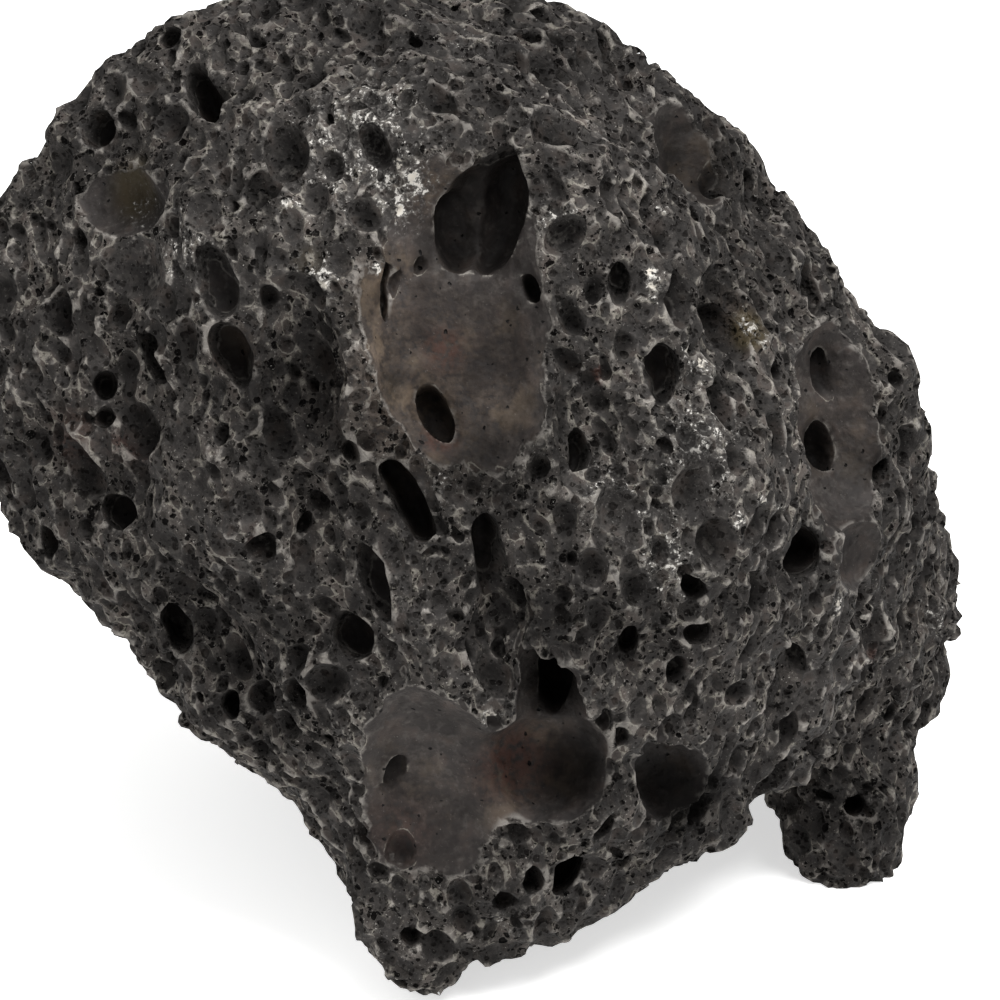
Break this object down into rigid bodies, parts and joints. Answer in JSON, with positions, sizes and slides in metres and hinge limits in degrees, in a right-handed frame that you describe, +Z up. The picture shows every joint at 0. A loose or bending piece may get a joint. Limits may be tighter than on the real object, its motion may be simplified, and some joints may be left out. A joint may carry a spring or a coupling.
{
  "type": "lava rock",
  "caption": "Loose block of black vesicular lava, a broken lump full of gas bubbles that stands on three small flats.",
  "frame": {"origin": "on the ground plane, under the middle of the stone's box", "axes": "+Z up, +X along the longest side, the front face with the wide hollows looks along -Y"},
  "size_m": [0.215, 0.1619, 0.1941],
  "materials": {
    "black_basalt": "rough, dull vesicular basalt, charcoal black with grey cell walls, brown-stained bubble walls and pale mineral frosting"
  },
  "bodies": {
    "root": {"lava_rock": "black_basalt"}
  },
  "joints": []
}
